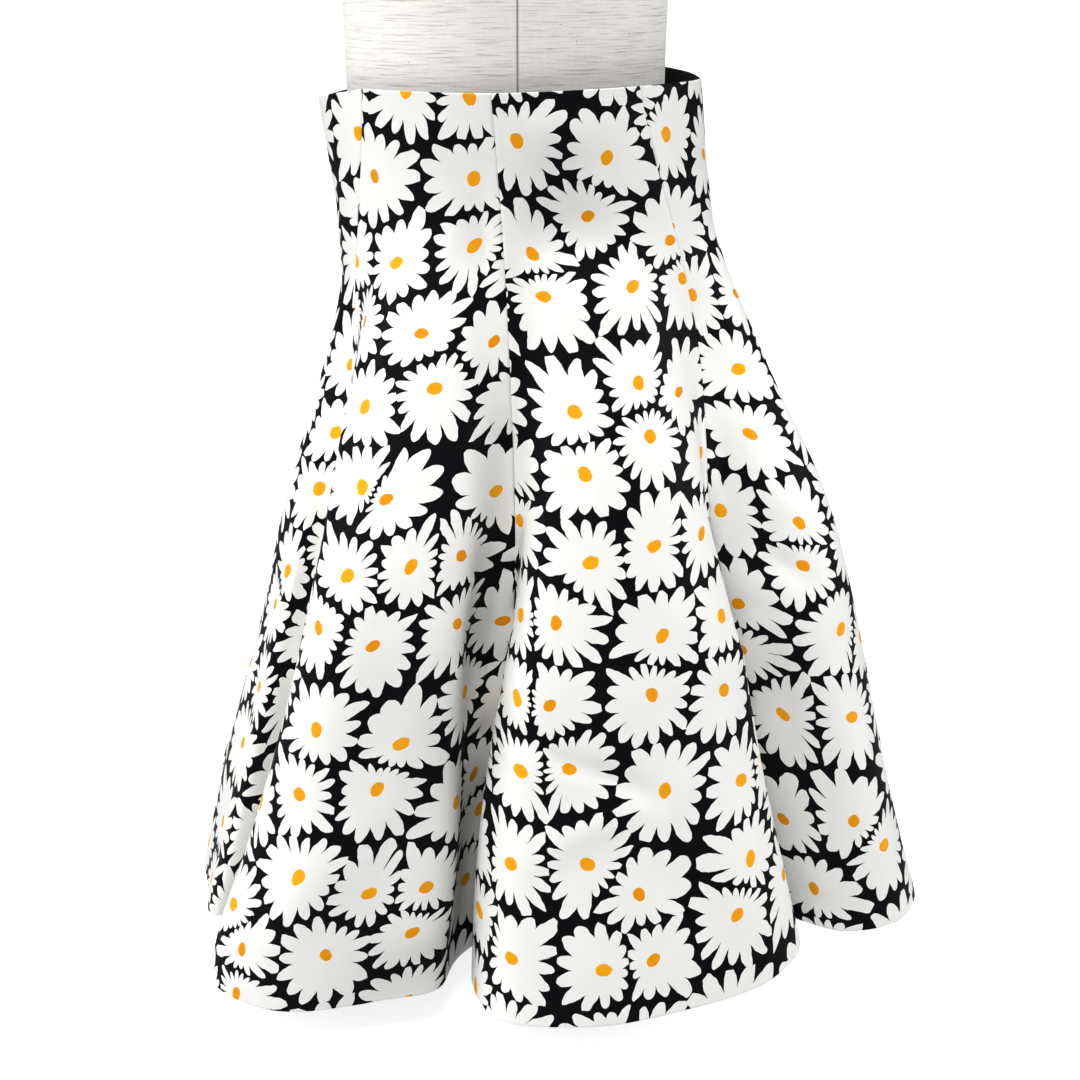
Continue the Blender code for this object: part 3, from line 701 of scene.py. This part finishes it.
def crease_height(name, across, down, width):
    """Height of the creases on a gore at points given by share across and distance down."""
    height = np.zeros_like(across)
    side = (across - 0.5) * width
    for gore, first_across, first_down, last_across, last_down, breadth, tall in CREASES:
        if gore != name:
            continue
        ends_down = np.array((first_down, last_down), float)
        ends_wide = np.interp(ends_down, down[:, 0], width[:, 0])
        ends_side = (np.array((first_across, last_across)) - 0.5) * ends_wide
        run_side, run_down = ends_side[1] - ends_side[0], ends_down[1] - ends_down[0]
        long = math.hypot(run_side, run_down)
        from_side, from_down = side - ends_side[0], down - ends_down[0]
        along = (from_side * run_side + from_down * run_down) / long
        off = (from_side * run_down - from_down * run_side) / long
        share = np.clip(along / long, 0, 1)
        off = off - CREASE_BOW * long * np.sin(math.pi * share)
        past = along - share * long
        taper = CREASE_ENDS + (1 - CREASE_ENDS) * np.sin(math.pi * share)
        height += tall * taper * np.exp(-(past**2 + off**2) / breadth**2)
    return height


def arc_lengths(points, axis):
    steps = np.linalg.norm(np.diff(points, axis=axis), axis=-1)
    total = np.cumsum(steps, axis=axis)
    shape = list(total.shape)
    shape[axis] = 1
    return np.concatenate([np.zeros(shape), total], axis=axis)


def in_place(points):
    """From the skirt's leaning millimetres to metres over the floor."""
    x, y, z = points[..., 0], points[..., 1], points[..., 2]
    cosine, sine = math.cos(SKIRT_LEAN), math.sin(SKIRT_LEAN)
    turned = np.stack([x * cosine - z * sine, y, x * sine + z * cosine], axis=-1)
    return (turned + np.array(SKIRT_TOP)) * MM


def rounding(distance):
    """How far a rounded edge falls back at a distance from the edge."""
    near = np.clip(distance / EDGE_ROUND, 0, 1)
    return EDGE_ROUND * (1 - np.sqrt(1 - (1 - near) ** 2))


def gore_shell(gore, turns, downs):
    """Outer and inner grids of a gore, and its cloth coordinates."""
    name = GORES[gore][0]
    turn, down = np.meshgrid(turns, downs)
    across = (1 - np.cos(turn)) / 2
    face = gore_face(gore, turn, down)
    normal = face_normal(gore, turn, down)
    run = arc_lengths(face, 1)
    width = run[:, -1:]
    middle = run[:, [len(turns) // 2]]
    drop = arc_lengths(face[:, [len(turns) // 2]], 0)
    cloth = np.stack([run - middle, -np.broadcast_to(drop, run.shape)], axis=-1) * MM
    from_seam = np.minimum(run, width - run)
    quiet = np.clip(from_seam / SEAM_QUIET, 0, 1) ** 2 * (3 - 2 * np.clip(from_seam / SEAM_QUIET, 0, 1))
    lift = crease_height(name, across, down, width) * quiet
    pucker = PUCKER_HEIGHT * np.sin(down / 2.9 + 3 * np.sin(down / 31.0))
    pucker = pucker * np.exp(-((from_seam - PUCKER_FROM_SEAM) / PUCKER_BREADTH) ** 2)
    lift = lift + pucker * np.clip(down / 20, 0, 1)
    for at_end, place in ((False, 0), (True, -1)):
        mitre, off = seam_frame(gore, down[:, 0], at_end)
        normal[:, place] = mitre
        face[:, place] += off * SEAM_PART
    sink = SEAM_SINK * np.exp(-((from_seam / SEAM_REACH) ** 2))
    edge = rounding(np.minimum(down, SKIRT_LENGTH - down))
    outer = face + normal * (lift - sink - edge)[..., None]
    inner = face + normal * (lift - CLOTH + edge)[..., None]
    return outer, inner, cloth


def shell_mesh(name, outer, inner, cloth, finishes):
    """A closed cloth wall between two grids, with its cloth coordinates as a UV map."""
    rows, steps = outer.shape[:2]
    points = in_place(np.concatenate([outer.reshape(-1, 3), inner.reshape(-1, 3)]))
    flat = np.concatenate([cloth.reshape(-1, 2), cloth.reshape(-1, 2)])
    back = rows * steps
    faces, finish = [], []
    for row in range(rows - 1):
        for step in range(steps - 1):
            a = row * steps + step
            b, c, d = a + steps, a + steps + 1, a + 1
            faces.append((a, b, c, d))
            finish.append(0)
            faces.append((back + a, back + d, back + c, back + b))
            finish.append(1)
    for row in range(rows - 1):
        a, b = row * steps, (row + 1) * steps
        faces.append((a, back + a, back + b, b))
        c, d = a + steps - 1, b + steps - 1
        faces.append((c, d, back + d, back + c))
        finish += [0, 0]
    last = (rows - 1) * steps
    for step in range(steps - 1):
        faces.append((step, step + 1, back + step + 1, back + step))
        a, b = last + step, last + step + 1
        faces.append((a, back + a, back + b, b))
        finish += [0, 0]
    mesh = bpy.data.meshes.new(name)
    mesh.from_pydata([tuple(p) for p in points], [], faces)
    mesh.polygons.foreach_set("material_index", finish)
    for made in finishes:
        mesh.materials.append(made)
    layer = mesh.uv_layers.new(name="cloth")
    corners = np.zeros(len(mesh.loops), int)
    mesh.loops.foreach_get("vertex_index", corners)
    layer.data.foreach_set("uv", flat[corners].ravel())
    work = bmesh.new()
    work.from_mesh(mesh)
    bmesh.ops.recalc_face_normals(work, faces=work.faces)
    work.to_mesh(mesh)
    work.free()
    mesh.shade_smooth()
    mesh.set_sharp_from_angle(angle=math.radians(60))
    piece = bpy.data.objects.new(name, mesh)
    bpy.context.scene.collection.objects.link(piece)
    return piece


EDGE_ROWS = (0.0, 0.1, 0.3, 0.6, 1.2, 2.2, 3.6)  # close rows at the top edge and the hem
ROW_STEP = 4.4
STEPS_ACROSS = 77


def spaced_rows(length, step):
    fine = np.array(EDGE_ROWS)
    middle = np.linspace(fine[-1], length - fine[-1], int(length / step))
    return np.concatenate([fine, middle[1:-1], length - fine[::-1]])


def make_gores(satin, lining):
    turns = np.linspace(0, np.pi, STEPS_ACROSS)
    downs = spaced_rows(SKIRT_LENGTH, ROW_STEP)
    for gore, row in enumerate(GORES):
        name = row[0]
        outer, inner, cloth = gore_shell(gore, turns, downs)
        cloth = cloth + np.array((0.37 * gore, 0.23 * ((gore * 5) % 8)))
        piece = shell_mesh("skirt_" + name, outer, inner, cloth, [satin, lining])
        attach(piece, SKIRT_BODY)
        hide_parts("gore_" + name)


# ------------------------------------------------------------------ facing and zip
LINING_GAP = 0.45
UNDER_CLOTH = CLOTH + LINING_GAP + 0.3  # depth of the facing and the tape
FACING_ROWS = np.array((1.5, 2.1, 3.5, 8.0, 16.0, 24.0, 32.0, 40.0, 43.5, 44.4, 45.0))
FACING_CLOTH = 1.0
TAPE_ROWS = np.linspace(1.5, 170.0, 482)
COIL_HALF = 1.9  # half width of the zip's coil
COIL_HEIGHT = 1.3
COIL_PITCH = 1.4
TAPE_HALF = 12.0
TAPE_CLOTH = 0.7
ZIP_SEAM = 4  # the centre back seam


def turn_at(gore, from_end, distance):
    turns = np.linspace(0, np.pi, 721)
    if from_end:
        turns = turns[::-1]
    run = arc_lengths(gore_face(gore, turns, 0.0), 0)
    return float(np.interp(distance, run, turns))


def under_layers(gore, turns, downs, depths):
    """Grids under a gore's face at given depths, mitred where they reach a seam."""
    turn, down = np.meshgrid(turns, downs)
    face = gore_face(gore, turn, down)
    normal = face_normal(gore, turn, down)
    for at_end, place, end in ((False, 0, 0.0), (True, -1, np.pi)):
        if abs(turns[place] - end) < 1e-9:
            normal[:, place] = seam_frame(gore, down[:, 0], at_end)[0]
    return [face - normal * depth for depth in depths]


def make_facing(twill):
    order = [(ZIP_SEAM + i) % len(GORES) for i in range(len(GORES))]
    layers = [[], []]
    for gore in order:
        first = turn_at(gore, False, TAPE_HALF + 1.0) if gore == order[0] else 0.0
        last = turn_at(gore, True, TAPE_HALF + 1.0) if gore == order[-1] else np.pi
        turns = np.linspace(first, last, 33)
        grids = under_layers(gore, turns, FACING_ROWS, (UNDER_CLOTH, UNDER_CLOTH + FACING_CLOTH))
        skip = 0 if gore == order[0] else 1
        for layer, grid in zip(layers, grids):
            layer.append(grid[:, skip:])
    outer, inner = (np.concatenate(layer, axis=1) for layer in layers)
    run = arc_lengths(outer, 1)
    cloth = np.stack([run, -np.broadcast_to(FACING_ROWS[:, None], run.shape)], axis=-1) * MM
    piece = shell_mesh("inside_facing", outer, inner, cloth, [twill, twill])
    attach(piece, SKIRT_BODY)
    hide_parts("waist_facing")


def make_zip_tape(tape):
    """The zip's tape inside the back seam, with the coil of its teeth along the middle."""
    aways = np.array((TAPE_HALF, 8.0, 4.0, 2.4, 1.9, 1.4, 0.9, 0.4))
    near = np.array([*(turn_at(ZIP_SEAM - 1, True, away) for away in aways), np.pi])
    far = np.array([0.0, *(turn_at(ZIP_SEAM, False, away) for away in aways[::-1])])
    depths = (UNDER_CLOTH, UNDER_CLOTH + TAPE_CLOTH)
    right = under_layers(ZIP_SEAM - 1, near, TAPE_ROWS, depths)
    left = under_layers(ZIP_SEAM, far, TAPE_ROWS, depths)
    outer, inner = (np.concatenate([a, b[:, 1:]], axis=1) for a, b in zip(right, left))
    run = arc_lengths(outer, 1)
    from_middle = np.abs(run - run[:, [len(near) - 1]])
    teeth = 0.8 + 0.2 * np.cos(2 * math.pi * TAPE_ROWS[:, None] / COIL_PITCH)
    coil = COIL_HEIGHT * teeth * np.sqrt(np.clip(1 - (from_middle / COIL_HALF) ** 2, 0, 1))
    inner = inner + unit(inner - outer) * coil[..., None]
    cloth = np.stack([run, -np.broadcast_to(TAPE_ROWS[:, None], run.shape)], axis=-1) * MM
    piece = shell_mesh("zip_tape_woven", outer, inner, cloth, [tape, tape])
    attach(piece, SKIRT_BODY)
    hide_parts("zip_tape")


# ------------------------------------------------------------------ the form
FORM_WAIST = 630.0
FORM_TURN = math.radians(6.0)
FORM_SECTIONS = (  # height over the waist, half width, front and back half depth
    (-350, 108, 86, 92),
    (-300, 116, 92, 100),
    (-250, 120.2, 95, 103),
    (-200, 118.2, 93, 101),
    (-150, 114.2, 89, 96),
    (-90, 109, 86, 89),
    (-30, 108, 84, 85),
    (35, 108.5, 85, 84),
    (85, 113, 92, 86),
    (135, 120, 106, 90),
    (175, 127, 115, 92),
    (215, 131, 106, 94),
    (260, 137, 89, 96),
    (305, 146, 76, 92),
    (338, 144, 64, 84),
    (362, 118, 55, 72),
    (382, 84, 50, 60),
    (402, 61, 47, 51),
    (450, 52, 45, 45),
)
FORM_STEPS = 48
FORM_SEAM_WIDTH = 1.4
FORM_SEAM_SINK = 0.8


def make_form(linen):
    """The limbless form: rings drawn up from the hips to the neck, with four sewn seams."""
    bpy.ops.object.select_all(action="DESELECT")
    bottom = (FORM_WAIST + FORM_SECTIONS[0][0]) * MM
    bpy.ops.mesh.primitive_circle_add(vertices=FORM_STEPS, radius=1.0, fill_type="NGON", location=(0, 0, 0))
    form = start_piece("linen_form")
    bpy.ops.transform.translate(value=(0.0, 0.0, bottom))
    for low, high in zip(FORM_SECTIONS, FORM_SECTIONS[1:]):
        rise = (high[0] - low[0]) * MM
        bpy.ops.mesh.extrude_region_move(TRANSFORM_OT_translate={"value": (0.0, 0.0, rise)})
    for up, half, front, back in FORM_SECTIONS:
        height = (FORM_WAIST + up) * MM
        for is_half, deep in ((lambda y: y <= 1e-6, front), (lambda y: y > 1e-6, back)):
            pick(form, lambda v: abs(v.co.z - height) < 1e-5 and is_half(v.co.y))
            bpy.ops.transform.resize(value=(half * MM, deep * MM, 1.0), center_override=(0.0, 0.0, height))
    on_seam = lambda v: abs(v.co.x) < 1e-5 or abs(v.co.y) < 1e-5
    upright = lambda e: abs(e.verts[0].co.z - e.verts[1].co.z) > 1e-3
    pick(form, lambda e: upright(e) and all(on_seam(v) for v in e.verts), "edges")
    bpy.ops.mesh.bevel(offset=FORM_SEAM_WIDTH * MM, segments=2, profile=0.5, affect="EDGES")
    pick(form, on_seam)
    bpy.ops.transform.shrink_fatten(value=-FORM_SEAM_SINK * MM)
    for up in (FORM_SECTIONS[0][0], FORM_SECTIONS[-1][0]):
        height = (FORM_WAIST + up) * MM
        pick(form, lambda e: all(abs(v.co.z - height) < 1e-5 for v in e.verts), "edges")
        bpy.ops.mesh.bevel(offset=2.5 * MM, segments=2, profile=0.5, affect="EDGES")
    bpy.ops.mesh.select_all(action="SELECT")
    bpy.ops.mesh.normals_make_consistent(inside=False)
    form.rotation_euler[2] = FORM_TURN
    close_piece(form, 60)
    subdivide_piece(form, 2)
    form.data.materials.append(linen)
    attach(form, SKIRT_BODY)
    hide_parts("form_torso")


def dress_node(node, finish):
    """A CAD node that stays in view gets its finish."""
    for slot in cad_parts[node].material_slots:
        slot.material = finish


add_camera()
add_studio()
make_gores(printed_satin(), black_cloth("black_lining", 5200.0, 0.5, (0.010, 0.010, 0.012)))
make_facing(black_cloth("black_twill", 3600.0, 0.7, (0.011, 0.011, 0.013)))
make_zip_tape(black_cloth("woven_tape", 5000.0, 0.8, (0.012, 0.012, 0.014)))
make_form(slubbed_linen())
metal = enamelled_metal()
dress_node("zip_slider", metal)
dress_node("zip_pull", metal)
dress_node("form_neck_cap", varnished_wood())
dress_node("form_pole", brushed_steel())
dress_node("form_base", satin_paint())

bpy.context.view_layer.update()
